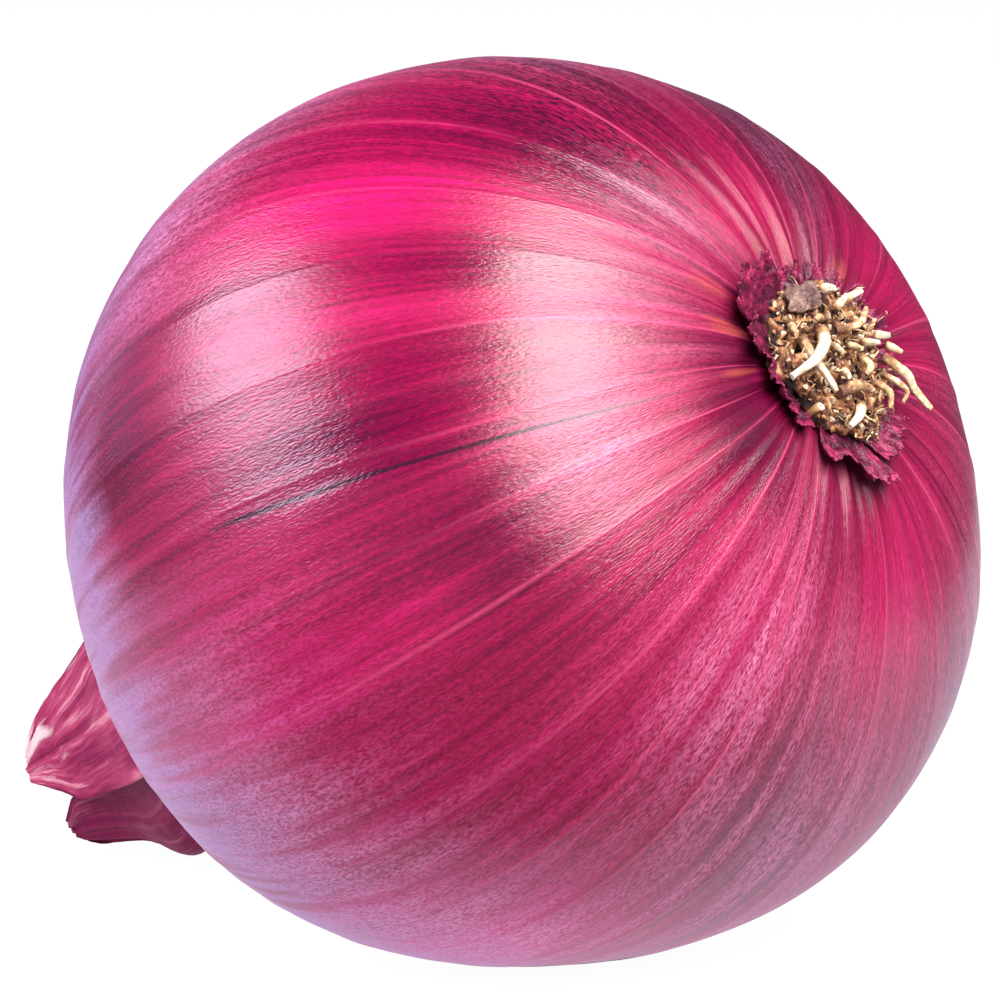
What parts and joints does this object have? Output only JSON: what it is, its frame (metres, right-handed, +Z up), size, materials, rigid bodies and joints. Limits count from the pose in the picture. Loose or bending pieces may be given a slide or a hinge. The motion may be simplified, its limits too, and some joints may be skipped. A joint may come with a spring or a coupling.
{
  "type": "red onion",
  "caption": "Whole red onion lying on its side: glossy magenta bulb with lighter veins, a corky root plate with dried roots and torn skin, and a fan of dry neck leaves.",
  "frame": {"origin": "centre of the small flat spot under the bulb that the onion rests on", "axes": "+Z up from the table; the onion's own axis lies in the XZ plane with the root end towards +X, tipped up 27 degrees, and the neck leaves towards -X, just clear of the table"},
  "size_m": [0.1028, 0.0799, 0.0788],
  "materials": {
    "bulb_skin": "thin dry outer skin, satin gloss, magenta to burgundy with lighter lengthwise veins",
    "root_cork": "rough brown fibrous cork of the root plate",
    "dried_root": "matt cream to ochre dried root",
    "torn_skin": "brittle papery purple skin with a ragged torn edge",
    "neck_skin": "dry papery leaf, burgundy to pink with pale veins"
  },
  "bodies": {
    "root": {"bark_flake": "root_cork", "bulb": "bulb_skin", "neck_leaf_back_lower": "neck_skin", "neck_leaf_back_upper": "neck_skin", "neck_leaf_front_lower": "neck_skin", "neck_leaf_front_upper": "neck_skin", "neck_leaf_inner": "neck_skin", "root_01": "dried_root", "root_02": "dried_root", "root_03": "dried_root", "root_04": "dried_root", "root_05": "dried_root", "root_06": "dried_root", "root_07": "dried_root", "root_08": "dried_root", "root_09": "dried_root", "root_10": "dried_root", "root_11": "dried_root", "root_12": "dried_root", "root_13": "dried_root", "root_14": "dried_root", "root_15": "dried_root", "root_16": "dried_root", "root_17": "dried_root", "root_18": "dried_root", "root_19": "dried_root", "root_20": "dried_root", "root_plate": "root_cork", "skin_flap_01": "torn_skin", "skin_flap_02": "torn_skin", "skin_flap_03": "torn_skin", "skin_flap_04": "torn_skin", "skin_flap_05": "torn_skin", "skin_flap_06": "torn_skin", "skin_flap_07": "torn_skin", "skin_flap_08": "torn_skin", "skin_flap_09": "torn_skin", "skin_flap_10": "torn_skin", "skin_flap_11": "torn_skin", "skin_flap_12": "torn_skin", "skin_flap_13": "torn_skin", "skin_flap_14": "torn_skin"}
  },
  "joints": []
}
